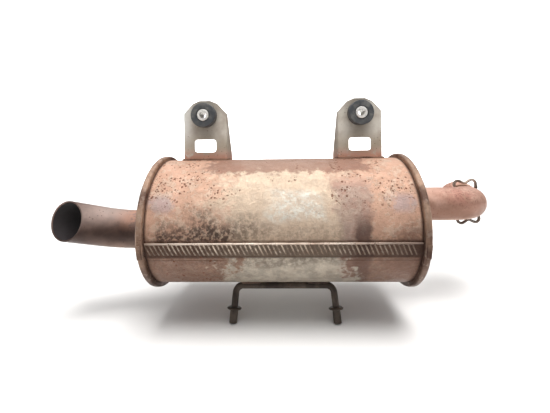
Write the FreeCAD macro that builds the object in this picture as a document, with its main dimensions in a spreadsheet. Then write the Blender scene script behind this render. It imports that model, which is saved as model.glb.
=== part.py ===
"""Round-barrel exhaust muffler for an off-road vehicle, as a parametric FreeCAD document.

A 6 inch lock-seamed barrel lies along X, with a rolled end cap at each end. Gas enters by a
1 3/4 inch elbow at +X, whose flared mouth points backwards (+Y), and leaves by a 1 7/8 inch slash-cut
tailpipe at -X that bends forwards and up. Two sheet brackets on the crest carry rubber
bushes with steel sleeves for M8 bolts, and a bent rod under the belly ends in two pins that
drop into grommets. The origin is midway between the two bolt axes, in the brackets' sheet.
"""
import math
import os

import FreeCAD
import Part
import Sketcher

DOC = FreeCAD.newDocument("muffler")
X_AXIS = FreeCAD.Vector(1, 0, 0)
Y_AXIS = FreeCAD.Vector(0, 1, 0)
Z_AXIS = FreeCAD.Vector(0, 0, 1)

# name, value in millimetres or degrees, what it is
DIMENSIONS = [
    ("barrel_x", -1.3, "barrel's middle along X"),
    ("barrel_y", 3.0, "barrel axis behind the bolt plane"),
    ("barrel_drop", 133.4, "barrel axis below the bolts"),
    ("shell_radius", 76.2, "outside of the 6 inch barrel"),
    ("shell_wall", 1.2, "barrel sheet"),
    ("shell_half", 151.5, "half the barrel sheet's length"),
    ("seam_start", 7.0, "upper edge of the lock seam, degrees below the front"),
    ("seam_end", 18.0, "lower edge of the lock seam"),
    ("seam_height", 1.5, "how far the lock seam stands proud"),
    ("rim_radius", 81.5, "outside of the rolled rims"),
    ("rim_width", 7.0, "rolled rim along the barrel"),
    ("rim_half", 153.0, "barrel centre to a rim's outer face"),
    ("rim_round", 2.4, "rounding of the rims"),
    ("cap_wall", 1.5, "end cap sheet"),
    ("cap_face", 143.0, "barrel centre to the cap's raised middle"),
    ("cap_step", 4.0, "depth of the step round the raised middle"),
    ("cap_middle", 56.0, "radius of the raised middle"),
    ("mat_wall", 3.6, "fibre mat between barrel and liner"),
    ("liner_wall", 0.8, "liner sheet"),
    ("liner_half", 136.0, "half the liner's length"),
    ("inlet_radius", 22.2, "outside of the 1 3/4 inch inlet pipe"),
    ("outlet_radius", 23.8, "outside of the 1 7/8 inch tailpipe"),
    ("pipe_wall", 1.6, "pipe wall"),
    ("pipe_inside", 130.0, "barrel centre to the pipes' inner ends"),
    ("inlet_y", 28.0, "inlet pipe behind the barrel axis"),
    ("inlet_z", 11.4, "inlet pipe above the barrel axis"),
    ("inlet_run", 99.0, "inlet pipe's straight run"),
    ("inlet_bend", 45.0, "elbow's centreline radius"),
    ("inlet_droop", 5.0, "how far the elbow points down from backwards, degrees"),
    ("inlet_tail", 4.5, "straight after the elbow"),
    ("flare_lap", 4.0, "flare's lap over the elbow"),
    ("flare_wall", 1.5, "flare sheet"),
    ("flare_radius", 28.5, "outside of the flare's mouth"),
    ("flare_cone", 3.5, "length of the flare's cone"),
    ("flare_lip", 8.0, "length of the flare's mouth"),
    ("outlet_y", -5.0, "outlet pipe behind the barrel axis"),
    ("outlet_z", -12.0, "outlet pipe above the barrel axis"),
    ("outlet_run", 51.0, "tailpipe's straight run"),
    ("outlet_bend", 89.0, "tailpipe's bend radius"),
    ("outlet_turn", 33.0, "tailpipe's bend, degrees"),
    ("outlet_roll", 31.0, "how far the bend leans up from forwards, degrees"),
    ("outlet_tail", 36.7, "straight after the bend, to the middle of the cut"),
    ("outlet_slash", 36.6, "slash cut from square, degrees"),
    ("slash_roll", -23.0, "slash cut's turn about the tail, degrees"),
    ("core_stop", 14.0, "core tubes' inner ends from the barrel centre"),
    ("core_hole", 2.0, "radius of the core tubes' perforations"),
    ("core_pitch", 9.0, "spacing of the perforations"),
    ("baffle_at", 45.0, "baffles' distance from the barrel centre"),
    ("baffle_flange", 8.0, "length of a baffle's flange"),
    ("transfer_radius", 16.0, "outside of the transfer tubes"),
    ("transfer_wall", 1.2, "transfer tube wall"),
    ("transfer_half", 62.0, "half a transfer tube's length"),
    ("transfer_a_y", -30.0, "upper transfer tube"),
    ("transfer_a_z", 38.0, "upper transfer tube"),
    ("transfer_b_y", 24.0, "lower transfer tube"),
    ("transfer_b_z", -44.0, "lower transfer tube"),
    ("bolt_half", 99.2, "half the distance between the bolt axes"),
    ("sheet", 2.5, "bracket sheet"),
    ("bracket_half", 28.0, "half a bracket's width"),
    ("bracket_shoulder", 2.5, "where the bracket's sides end, above the bolt"),
    ("bracket_slope_x", 16.0, "half width at the top of the slope"),
    ("bracket_slope_z", 15.5, "height of the top of the slope"),
    ("bracket_top_x", 7.0, "half width of the top edge"),
    ("bracket_top_z", 19.3, "top edge above the bolt"),
    ("bracket_bend", 2.4, "outside radius of the bracket's folds"),
    ("gusset_depth", 38.0, "depth of a side flange at the barrel"),
    ("gusset_top", 5.0, "depth of a side flange at its top"),
    ("weld_gap", 0.05, "gap left between bracket and barrel"),
    ("window_half", 14.2, "half the window's width"),
    ("window_low", -47.3, "window's lower edge"),
    ("window_high", -30.7, "window's upper edge"),
    ("window_round", 4.0, "window's corner radius"),
    ("bush_neck", 10.5, "bush's neck and the bracket's hole, radius"),
    ("bush_radius", 15.6, "bush's heads"),
    ("bush_front", 12.0, "front head's face, before the bolt plane"),
    ("bush_back", 9.5, "rear head's face, behind the bolt plane"),
    ("bush_round", 1.3, "rounding of the bush's heads"),
    ("bush_recess", 1.4, "depth of the recess round the sleeve"),
    ("bush_recess_radius", 8.6, "radius of the recess round the sleeve"),
    ("sleeve_radius", 7.2, "outside of the steel sleeve"),
    ("sleeve_bore", 4.25, "radius of the M8 clearance hole"),
    ("sleeve_play", 0.05, "radial play of the sleeve in the bush"),
    ("sleeve_over", 0.5, "sleeve proud of the rubber at each end"),
    ("rod_radius", 4.0, "hanger rod"),
    ("rod_bend", 9.0, "rod's bend radius"),
    ("rod_x", 2.2, "rod's middle from the barrel's"),
    ("rod_span", 118.0, "between the rod's legs, at the barrel"),
    ("rod_leg", 40.4, "rod axis to a leg's end"),
    ("rod_splay", 4.0, "legs' outward lean, degrees"),
    ("rod_lean", 16.0, "rod's place, degrees forwards of the barrel's lowest line"),
    ("rod_gap", 0.1, "gap left between rod and barrel"),
    ("pin_radius", 4.7, "pressed-on pin bush"),
    ("pin_length", 17.4, "pin bush below its collar's top"),
    ("collar_radius", 8.8, "pin bush's collar"),
    ("collar_thick", 2.4, "pin bush's collar"),
    ("pin_overhang", 1.0, "pin bush beyond the rod's end"),
    ("hook_wire", 2.0, "radius of the spring hooks' wire"),
    ("hook_along", 34.0, "spring hooks behind the inlet pipe's axis"),
    ("hook_foot", 24.9, "distance of the hooks' ends from the pipe's axis"),
    ("hook_foot_x", 15.6, "hooks' ends, sideways from the pipe's axis"),
    ("hook_lean", -4.0, "inward lean of the hooks' outer legs towards their tops, degrees"),
    ("hook_tilt", 4.0, "how far a hook is welded on out of square, degrees"),
    ("hook_leg", 5.8, "hooks' outer legs"),
    ("hook_crown", 5.5, "bend radius of the hooks' humps"),
    ("hook_slope", 5.7, "straight between a hump and the dip"),
    ("hook_dip", 5.0, "bend radius of the dip"),
    ("hook_fall", 30.0, "slope between a hump and the dip, degrees"),
]

sheet = DOC.addObject("Spreadsheet::Sheet", "dims")
for row, (alias, number, meaning) in enumerate(DIMENSIONS, start=1):
    sheet.set(f"A{row}", str(number))
    sheet.setAlias(f"A{row}", alias)
    sheet.set(f"B{row}", meaning)
DOC.recompute()


def value(expression):
    """The number that an expression of the sheet's aliases gives."""
    return float(sheet.evalExpression(expression))


def linked(expression):
    """The expression as another object must write it: each alias with the sheet's name."""
    names = {alias for alias, _, _ in DIMENSIONS}
    out, word = [], ""
    for letter in expression + " ":
        if letter.isalnum() or letter == "_":
            word += letter
            continue
        out.append(f"dims.{word}" if word in names else word)
        out.append(letter)
        word = ""
    return "".join(out).strip()


# --- sketch and feature helpers -------------------------------------------------------------

def new_body(label):
    part = DOC.addObject("PartDesign::Body", label)
    part.Label = label
    return part


def new_sketch(part, role, name):
    plane = [f for f in part.Origin.OriginFeatures if f.Role == role][0]
    sk = part.newObject("Sketcher::SketchObject", name)
    sk.AttachmentSupport = (plane, "")
    sk.MapMode = "FlatFace"
    return sk


def bind(sk, constraint, expression):
    """Adds a constraint and ties its value to the sheet."""
    index = sk.addConstraint(constraint)
    sk.setExpression(f"Constraints[{index}]", linked(expression))


def pin_point(sk, geometry, end, x, y):
    """Holds one end of a piece of geometry at (x, y), two expressions."""
    for kind, axis, expression in (("DistanceX", -2, x), ("DistanceY", -1, y)):
        number = value(expression)
        if abs(number) < 1e-9:
            sk.addConstraint(Sketcher.Constraint("PointOnObject", geometry, end, axis))
        else:
            bind(sk, Sketcher.Constraint(kind, -1, 1, geometry, end, number), expression)


def outline(sk, corners):
    """A closed outline of straight lines through corners, pairs of expressions."""
    points = [FreeCAD.Vector(value(x), value(y), 0) for x, y in corners]
    first = sk.GeometryCount
    count = len(points)
    for i in range(count):
        sk.addGeometry(Part.LineSegment(points[i], points[(i + 1) % count]), False)
    for i in range(count):
        following = first + (i + 1) % count
        sk.addConstraint(Sketcher.Constraint("Coincident", first + i, 2, following, 1))
    for i, (x, y) in enumerate(corners):
        pin_point(sk, first + i, 1, x, y)


def circle(sk, radius, x="0", y="0"):
    centre = FreeCAD.Vector(value(x), value(y), 0)
    index = sk.addGeometry(Part.Circle(centre, Z_AXIS, value(radius)), False)
    bind(sk, Sketcher.Constraint("Radius", index, value(radius)), radius)
    if x == "0" and y == "0":
        sk.addConstraint(Sketcher.Constraint("Coincident", index, 3, -1, 1))
    else:
        pin_point(sk, index, 3, x, y)


def bent_path(sk, moves):
    """An open path from the origin, starting upwards in the sketch: ("line", length) and
    ("bend", radius, turn) in turn, with a positive turn to the right."""
    at = FreeCAD.Vector(0, 0, 0)
    heading = math.pi / 2
    before = None
    for move in moves:
        if move[0] == "line":
            length = value(move[1])
            end = at + FreeCAD.Vector(math.cos(heading), math.sin(heading), 0) * length
            index = sk.addGeometry(Part.LineSegment(at, end), False)
            bind(sk, Sketcher.Constraint("Distance", index, length), move[1])
            start_end, stop_end = 1, 2
        else:
            radius, turn = value(move[1]), math.radians(value(move[2]))
            side = 1 if turn > 0 else -1
            normal = heading - side * math.pi / 2
            centre = at + FreeCAD.Vector(math.cos(normal), math.sin(normal), 0) * radius
            here = normal + math.pi
            there = here - turn
            end = centre + FreeCAD.Vector(math.cos(there), math.sin(there), 0) * radius
            round_one = Part.Circle(centre, Z_AXIS, radius)
            arc = Part.ArcOfCircle(round_one, min(here, there), max(here, there))
            index = sk.addGeometry(arc, False)
            bind(sk, Sketcher.Constraint("Radius", index, radius), move[1])
            bind(sk, Sketcher.Constraint("Angle", index, abs(turn)),
                 f"({side} * ({move[2]})) * 1 deg")
            start_end, stop_end = (2, 1) if side > 0 else (1, 2)
            heading -= turn
        if before is None:
            sk.addConstraint(Sketcher.Constraint("Coincident", index, start_end, -1, 1))
            sk.addConstraint(Sketcher.Constraint("Vertical", index))
        else:
            sk.addConstraint(
                Sketcher.Constraint("Tangent", before[0], before[1], index, start_end))
        before = (index, stop_end)
        at = end


def pad(part, sk, length, name, both_ways=False):
    feature = part.newObject("PartDesign::Pad", name)
    feature.Profile = sk
    feature.setExpression("Length", linked(length))
    feature.Midplane = both_ways
    DOC.recompute()
    return feature


def pocket(part, sk, name):
    """Cuts the sketch right through the part, both ways."""
    before = part.Tip.Shape.Volume
    feature = part.newObject("PartDesign::Pocket", name)
    feature.Profile = sk
    feature.Type = 1
    feature.Midplane = True
    DOC.recompute()
    if feature.Shape.Volume > before - 1e-3:
        raise RuntimeError(f"{part.Label}: {name} cut nothing")
    return feature


def revolution(part, sk, axis, name):
    feature = part.newObject("PartDesign::Revolution", name)
    feature.Profile = sk
    feature.ReferenceAxis = (sk, [axis])
    feature.Angle = 360
    DOC.recompute()
    return feature


def round_edges(part, chosen, radius, name):
    """Fillets the tip's edges for which chosen(edge) is true."""
    base = part.Tip
    edges = [f"Edge{i}" for i, edge in enumerate(base.Shape.Edges, start=1) if chosen(edge)]
    feature = part.newObject("PartDesign::Fillet", name)
    feature.Base = (base, edges)
    feature.setExpression("Radius", linked(radius))
    DOC.recompute()
    return feature


def is_ring(edge, radius, axis, place):
    """True for a full circle of that radius, round that axis, at that place along it."""
    curve = edge.Curve
    if not isinstance(curve, Part.Circle) or abs(curve.Radius - radius) > 1e-3:
        return False
    return abs(curve.Center.dot(axis) - place) < 1e-3


def place(part, x, y, z, turn=None):
    """Puts a sub-part at a point of expressions, turned as given."""
    part.Placement = FreeCAD.Placement(
        FreeCAD.Vector(value(x), value(y), value(z)), turn or FreeCAD.Rotation())
    for letter, expression in (("x", x), ("y", y), ("z", z)):
        part.setExpression(f".Placement.Base.{letter}", linked(expression))


def place_in_barrel(part, x="0", y="0", z="0", turn=None):
    """Puts a sub-part at a point measured from the barrel's centre."""
    place(part, f"barrel_x + ({x})", f"barrel_y + ({y})", f"({z}) - barrel_drop", turn)


def frame(x, y, z):
    """The turn that carries a sub-part's own axes to these directions."""
    return FreeCAD.Rotation(x, y, z, "ZXY")


# --- barrel -----------------------------------------------------------------------------------

def tube(label, outside, wall, length):
    """A plain tube round the barrel's own axis direction, centred on its placement."""
    part = new_body(label)
    sk = new_sketch(part, "YZ_Plane", f"{label}_ring")
    circle(sk, outside)
    circle(sk, f"{outside} - {wall}")
    pad(part, sk, length, f"{label}_pad", both_ways=True)
    return part


def seam_block(part, label, side, low, high, along, length):
    """A block over the lock seam's arc, from radius low to high, centred at along."""
    sk = new_sketch(part, "YZ_Plane", f"{label}_section")
    sk.setExpression("AttachmentOffset.Base.z", linked(along))
    outline(sk, [
        (f"{side} * ({low}) * cos(seam_start)", f"-({low}) * sin(seam_start)"),
        (f"{side} * ({high}) * cos(seam_start)", f"-({high}) * sin(seam_start)"),
        (f"{side} * ({high}) * cos(seam_end)", f"-({high}) * sin(seam_end)"),
        (f"{side} * ({low}) * cos(seam_end)", f"-({low}) * sin(seam_end)"),
    ])
    pad(part, sk, length, label, both_ways=True)


def make_shell():
    part = tube("outer_shell", "shell_radius", "shell_wall", "2 * shell_half")
    seam_block(part, "lock_seam", -1, "shell_radius - 0.6", "shell_radius + seam_height", "0",
               "2 * (rim_half - rim_width)")
    place_in_barrel(part)


def make_linings():
    mat = tube("fibre_mat", "shell_radius - shell_wall", "mat_wall", "2 * liner_half")
    place_in_barrel(mat)
    liner = tube("inner_liner", "shell_radius - shell_wall - mat_wall", "liner_wall",
                 "2 * liner_half")
    place_in_barrel(liner)


def make_end_cap(label, radius, hole_y, hole_z, seam_side, turn):
    """A pressed cap whose edge is rolled over the end of the barrel sheet. Its own +X points
    out of the barrel."""
    part = new_body(label)
    sk = new_sketch(part, "XY_Plane", f"{label}_section")
    inner = "shell_radius - shell_wall"
    outline(sk, [
        ("cap_face", "0"),
        ("cap_face", "cap_middle"),
        ("cap_face - cap_step", "cap_middle + cap_step"),
        ("cap_face - cap_step", f"{inner} - cap_wall"),
        ("rim_half", f"{inner} - cap_wall"),
        ("rim_half", "rim_radius"),
        ("rim_half - rim_width", "rim_radius"),
        ("rim_half - rim_width", "shell_radius"),
        ("shell_half", "shell_radius"),
        ("shell_half", inner),
        ("cap_face - cap_step - cap_wall", inner),
        ("cap_face - cap_step - cap_wall", "cap_middle + cap_step - cap_wall / 2"),
        ("cap_face - cap_wall", "cap_middle - cap_wall / 2"),
        ("cap_face - cap_wall", "0"),
    ])
    revolution(part, sk, "H_Axis", f"{label}_disc")
    hole = new_sketch(part, "YZ_Plane", f"{label}_hole")
    circle(hole, radius, hole_y, hole_z)
    pocket(part, hole, f"{label}_pipe_hole")
    rim, half, width = value("rim_radius"), value("rim_half"), value("rim_width")
    round_edges(
        part,
        lambda e: is_ring(e, rim, X_AXIS, half) or is_ring(e, rim, X_AXIS, half - width),
        "rim_round", f"{label}_rim_round")
    seam_block(part, f"{label}_seam_lump", seam_side, "rim_radius - 2", "rim_radius + seam_height",
               "rim_half - rim_width / 2", "rim_width - rim_round")
    place_in_barrel(part, turn=turn)


# --- pipes ------------------------------------------------------------------------------------

def bent_tube(label, moves, outside, wall=None):
    """A tube, or a rod if it has no wall, that starts at its own origin along +Z and bends
    towards +X."""
    part = new_body(label)
    section = new_sketch(part, "XY_Plane", f"{label}_section")
    circle(section, outside)
    if wall:
        circle(section, f"{outside} - {wall}")
    path = new_sketch(part, "XZ_Plane", f"{label}_path")
    bent_path(path, moves)
    DOC.recompute()
    sweep = part.newObject("PartDesign::AdditivePipe", f"{label}_sweep")
    sweep.Profile = section
    sweep.Spine = path
    DOC.recompute()
    return part


def mouth_frame(along, up="0"):
    """Expressions for a point behind the elbow: along the mouth's axis from the inlet
    pipe's own, and up across it."""
    return ("pipe_inside + inlet_run + inlet_bend",
            f"inlet_y + ({along}) * cos(inlet_droop) + ({up}) * sin(inlet_droop)",
            f"inlet_z - ({along}) * sin(inlet_droop) + ({up}) * cos(inlet_droop)")


def mouth_turn():
    return FreeCAD.Rotation(X_AXIS, -value("inlet_droop"))


def make_inlet_pipe():
    part = bent_tube("inlet_pipe", [
        ("line", "inlet_run"),
        ("bend", "inlet_bend", "90"),
        ("line", "inlet_tail"),
    ], "inlet_radius", "pipe_wall")
    place_in_barrel(part, "pipe_inside", "inlet_y", "inlet_z",
                    mouth_turn().multiply(frame(Y_AXIS, Z_AXIS, X_AXIS)))


def make_inlet_flare():
    """The bell that takes the header pipe's gasket; its own +Y points out of its mouth."""
    part = new_body("inlet_flare")
    sk = new_sketch(part, "XY_Plane", "flare_section")
    outline(sk, [
        ("inlet_radius", "0"),
        ("inlet_radius + flare_wall", "0"),
        ("inlet_radius + flare_wall", "flare_lap"),
        ("flare_radius", "flare_lap + flare_cone"),
        ("flare_radius", "flare_lap + flare_cone + flare_lip"),
        ("flare_radius - flare_wall", "flare_lap + flare_cone + flare_lip"),
        ("flare_radius - flare_wall", "flare_lap + flare_cone + flare_wall / 2"),
        ("inlet_radius", "flare_lap + flare_wall / 2"),
    ])
    revolution(part, sk, "V_Axis", "flare_bell")
    x, y, z = mouth_frame("inlet_bend + inlet_tail - flare_lap")
    place_in_barrel(part, x, y, z, mouth_turn())


def make_outlet_pipe():
    part = bent_tube("outlet_pipe", [
        ("line", "outlet_run"),
        ("bend", "outlet_bend", "outlet_turn"),
        ("line", "outlet_tail + 2 * outlet_radius"),
    ], "outlet_radius", "pipe_wall")
    # the cut's sketch starts on the pipe's axis with its +Y along the tail
    middle_x = "outlet_bend * (1 - cos(outlet_turn)) + outlet_tail * sin(outlet_turn)"
    middle_z = "outlet_run + outlet_bend * sin(outlet_turn) + outlet_tail * cos(outlet_turn)"
    cut = new_sketch(part, "XZ_Plane", "slash_cut")
    along_tail = FreeCAD.Rotation(Z_AXIS, -value("outlet_turn"))
    about_tail = FreeCAD.Rotation(Y_AXIS, value("slash_roll"))
    cut.AttachmentOffset = FreeCAD.Placement(
        FreeCAD.Vector(value(middle_x), value(middle_z), 0), along_tail.multiply(about_tail))
    cut.setExpression("AttachmentOffset.Base.x", linked(middle_x))
    cut.setExpression("AttachmentOffset.Base.y", linked(middle_z))
    reach = "3 * outlet_radius"
    near_x, near_y = f"{reach} * cos(outlet_slash)", f"{reach} * sin(outlet_slash)"
    outline(cut, [
        (near_x, f"-{near_y}"),
        (f"-{near_x}", near_y),
        (f"2 * {near_y} - {near_x}", f"{near_y} + 2 * {near_x}"),
        (f"{near_x} + 2 * {near_y}", f"2 * {near_x} - {near_y}"),
    ])
    pocket(part, cut, "slash")
    roll = math.radians(value("outlet_roll"))
    towards = FreeCAD.Vector(0, -math.cos(roll), math.sin(roll))
    along_pipe = FreeCAD.Vector(-1, 0, 0)
    place_in_barrel(part, "-pipe_inside", "outlet_y", "outlet_z",
                    frame(towards, along_pipe.cross(towards), along_pipe))


def perforated_tube(label, outside, wall, length, first, last):
    """A tube along its own +X from its origin, with rows of holes between first and last."""
    part = new_body(label)
    ring = new_sketch(part, "YZ_Plane", f"{label}_ring")
    circle(ring, outside)
    circle(ring, f"{outside} - {wall}")
    pad(part, ring, length, f"{label}_pad")
    row = new_sketch(part, "XY_Plane", f"{label}_row")
    holes = int((value(last) - value(first)) / value("core_pitch"))
    for i in range(holes):
        circle(row, "core_hole", f"{first} + {i} * core_pitch", "0")
    cut = pocket(part, row, f"{label}_holes")
    rows = part.newObject("PartDesign::PolarPattern", f"{label}_rows")
    rows.Originals = [cut]
    rows.Axis = (ring, ["N_Axis"])
    rows.Angle = 180
    rows.Occurrences = 5
    part.Tip = rows
    DOC.recompute()
    return part


def make_core_tubes():
    """Both reach through their own baffle and stop in the middle chamber."""
    first, last = "core_pitch", "pipe_inside - baffle_at - core_pitch / 2"
    for end, turn in (("inlet", frame(-X_AXIS, -Y_AXIS, Z_AXIS)), ("outlet", None)):
        core = perforated_tube(f"{end}_core_tube", f"{end}_radius", "pipe_wall",
                               "pipe_inside - core_stop", first, last)
        x = "pipe_inside" if end == "inlet" else "-pipe_inside"
        place_in_barrel(core, x, f"{end}_y", f"{end}_z", turn)


def make_transfer_tubes():
    for letter in ("a", "b"):
        part = tube(f"transfer_tube_{letter}", "transfer_radius", "transfer_wall",
                    "2 * transfer_half")
        place_in_barrel(part, "0", f"transfer_{letter}_y", f"transfer_{letter}_z")


def make_baffle(end, x):
    """A flanged disc inside the liner, with holes for its core tube and the transfer tubes."""
    label = f"{end}_baffle"
    part = new_body(label)
    edge = "(shell_radius - shell_wall - mat_wall - liner_wall)"
    sk = new_sketch(part, "XY_Plane", f"{label}_section")
    outline(sk, [
        ("0", "0"),
        ("cap_wall", "0"),
        ("cap_wall", f"{edge} - cap_wall"),
        ("baffle_flange", f"{edge} - cap_wall"),
        ("baffle_flange", edge),
        ("0", edge),
    ])
    revolution(part, sk, "H_Axis", f"{label}_disc")
    holes = new_sketch(part, "YZ_Plane", f"{label}_holes")
    circle(holes, f"{end}_radius", f"{end}_y", f"{end}_z")
    circle(holes, "transfer_radius", "transfer_a_y", "transfer_a_z")
    circle(holes, "transfer_radius", "transfer_b_y", "transfer_b_z")
    pocket(part, holes, f"{label}_tube_holes")
    place_in_barrel(part, x)


# --- bushed brackets --------------------------------------------------------------------------

def make_bracket(label, x):
    """A folded bracket: a front plate with a bush hole and a window, and two side flanges
    that deepen towards the barrel. Its origin is on the bolt axis."""
    part = new_body(label)
    crest = "(shell_radius + weld_gap - barrel_drop)"
    side = new_sketch(part, "YZ_Plane", f"{label}_side")
    outline(side, [
        ("-sheet / 2", "bracket_shoulder"),
        ("gusset_top", "bracket_shoulder"),
        ("gusset_depth", f"{crest} + 4"),
        ("gusset_depth", f"{crest} - 14"),
        ("-sheet / 2", f"{crest} - 14"),
    ])
    pad(part, side, "2 * bracket_half", f"{label}_block", both_ways=True)
    front = new_sketch(part, "XZ_Plane", f"{label}_front")
    right = [
        ("bracket_half", "-20"),
        ("bracket_half", "bracket_shoulder"),
        ("bracket_slope_x", "bracket_slope_z"),
        ("bracket_top_x", "bracket_top_z"),
    ]
    outline(front, right + [(f"-({px})", pz) for px, pz in reversed(right)])
    pad(part, front, "sheet", f"{label}_plate", both_ways=True)
    bends = value("bracket_half")
    front_y = -value("sheet") / 2
    round_edges(
        part,
        lambda e: (abs(abs(e.CenterOfMass.x) - bends) < 1e-3
                   and abs(e.CenterOfMass.y - front_y) < 1e-3
                   and e.BoundBox.ZLength > 15),
        "bracket_bend", f"{label}_folds")
    hollow = new_sketch(part, "XY_Plane", f"{label}_hollow")
    outline(hollow, [
        ("bracket_half - sheet", "sheet / 2"),
        ("bracket_half - sheet", "2 * gusset_depth"),
        ("sheet - bracket_half", "2 * gusset_depth"),
        ("sheet - bracket_half", "sheet / 2"),
    ])
    pocket(part, hollow, f"{label}_channel")
    barrel = new_sketch(part, "YZ_Plane", f"{label}_barrel")
    circle(barrel, "shell_radius + weld_gap", "barrel_y", "-barrel_drop")
    pocket(part, barrel, f"{label}_saddle")
    window = new_sketch(part, "XZ_Plane", f"{label}_window")
    outline(window, [
        ("-window_half", "window_low"),
        ("window_half", "window_low"),
        ("window_half", "window_high"),
        ("-window_half", "window_high"),
    ])
    circle(window, "bush_neck", "0", "0")
    pocket(part, window, f"{label}_openings")
    half = value("window_half")
    round_edges(
        part,
        lambda e: (abs(abs(e.CenterOfMass.x) - half) < 1e-3
                   and abs(e.BoundBox.YLength - value("sheet")) < 1e-3
                   and e.BoundBox.ZLength < 1e-3),
        "window_round", f"{label}_window_round")
    place(part, x, "0", "0")


def make_bush(label, x):
    """A rubber spool that snaps into the bracket's hole, bored for the sleeve."""
    part = new_body(label)
    sk = new_sketch(part, "XY_Plane", f"{label}_section")
    bore = "sleeve_radius + sleeve_play"
    outline(sk, [
        (bore, "bush_back"),
        (bore, "bush_recess - bush_front"),
        ("bush_recess_radius", "bush_recess - bush_front"),
        ("bush_recess_radius", "-bush_front"),
        ("bush_radius", "-bush_front"),
        ("bush_radius", "-sheet / 2"),
        ("bush_neck", "-sheet / 2"),
        ("bush_neck", "sheet / 2"),
        ("bush_radius", "sheet / 2"),
        ("bush_radius", "bush_back"),
    ])
    revolution(part, sk, "V_Axis", f"{label}_spool")
    head, front, back = value("bush_radius"), -value("bush_front"), value("bush_back")
    round_edges(
        part,
        lambda e: is_ring(e, head, Y_AXIS, front) or is_ring(e, head, Y_AXIS, back),
        "bush_round", f"{label}_round")
    place(part, x, "0", "0")


def make_sleeve(label, x):
    part = new_body(label)
    sk = new_sketch(part, "XY_Plane", f"{label}_section")
    outline(sk, [
        ("sleeve_bore", "-bush_front - sleeve_over"),
        ("sleeve_radius - 0.5", "-bush_front - sleeve_over"),
        ("sleeve_radius", "0.5 - bush_front - sleeve_over"),
        ("sleeve_radius", "bush_back + sleeve_over - 0.5"),
        ("sleeve_radius - 0.5", "bush_back + sleeve_over"),
        ("sleeve_bore", "bush_back + sleeve_over"),
    ])
    revolution(part, sk, "V_Axis", f"{label}_tube")
    place(part, x, "0", "0")


# --- belly rod and spring hooks -----------------------------------------------------------------

def belly_point(across, down):
    """Expressions for a point of the belly rod's plane: across along the barrel, and down
    from the barrel's axis."""
    return (across, f"-({down}) * sin(rod_lean)", f"-({down}) * cos(rod_lean)")


def make_hanger_rod():
    """The rod runs under the barrel, with a leg at each end; its own start is at the left
    leg's tip."""
    upright = "rod_leg - rod_bend * tan((90 - rod_splay) / 2)"
    part = bent_tube("hanger_rod", [
        ("line", upright),
        ("bend", "rod_bend", "90 - rod_splay"),
        ("line", "rod_span - 2 * rod_bend * tan((90 - rod_splay) / 2)"),
        ("bend", "rod_bend", "90 - rod_splay"),
        ("line", upright),
    ], "rod_radius")
    lean = FreeCAD.Rotation(X_AXIS, -value("rod_lean"))
    splay = FreeCAD.Rotation(Y_AXIS, value("rod_splay"))
    x, y, z = belly_point("rod_x - rod_span / 2 - rod_leg * sin(rod_splay)",
                          "shell_radius + rod_gap + rod_radius + rod_leg * cos(rod_splay)")
    place_in_barrel(part, x, y, z, lean.multiply(splay))


def make_pin_bush(label, side):
    """A flanged steel bush pressed over a leg's tip; its own -Z points out of the tip."""
    part = new_body(label)
    sk = new_sketch(part, "XZ_Plane", f"{label}_section")
    top = "pin_length - pin_overhang"
    outline(sk, [
        ("rod_radius", "-pin_overhang"),
        ("pin_radius - 0.5", "-pin_overhang"),
        ("pin_radius", "0.5 - pin_overhang"),
        ("pin_radius", f"{top} - collar_thick"),
        ("collar_radius - 0.6", f"{top} - collar_thick"),
        ("collar_radius", f"{top} - collar_thick / 2"),
        ("collar_radius - 1.6", top),
        ("rod_radius", top),
    ])
    revolution(part, sk, "V_Axis", f"{label}_turned")
    lean = FreeCAD.Rotation(X_AXIS, -value("rod_lean"))
    splay = FreeCAD.Rotation(Y_AXIS, -side * value("rod_splay"))
    x, y, z = belly_point(f"rod_x + {side} * (rod_span / 2 + rod_leg * sin(rod_splay))",
                          "shell_radius + rod_gap + rod_radius + rod_leg * cos(rod_splay)")
    place_in_barrel(part, x, y, z, lean.multiply(splay))


def make_spring_hook(label, up):
    """A wire bent into two humps, welded across the end of the elbow; up is 1 or -1."""
    part = bent_tube(label, [
        ("line", "hook_leg"),
        ("bend", "hook_crown", "90 + hook_fall - hook_lean"),
        ("line", "hook_slope"),
        ("bend", "hook_dip", "-2 * hook_fall"),
        ("line", "hook_slope"),
        ("bend", "hook_crown", "90 + hook_fall - hook_lean"),
        ("line", "hook_leg"),
    ], "hook_wire")
    lean = FreeCAD.Rotation(Y_AXIS, value("hook_lean") - value("hook_tilt"))
    flip = FreeCAD.Rotation(Y_AXIS, 0 if up > 0 else 180)
    foot = f"{up} * (sqrt(hook_foot ^ 2 - hook_foot_x ^ 2) - hook_foot_x * sin(hook_tilt))"
    short_of_end = "inlet_bend * (1 - sqrt(1 - (1 - hook_along / inlet_bend) ^ 2))"
    x, y, z = mouth_frame("hook_along", foot)
    place_in_barrel(part, f"{x} - {short_of_end} - {up} * hook_foot_x * cos(hook_tilt)", y, z,
                    mouth_turn().multiply(flip).multiply(lean))


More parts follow.
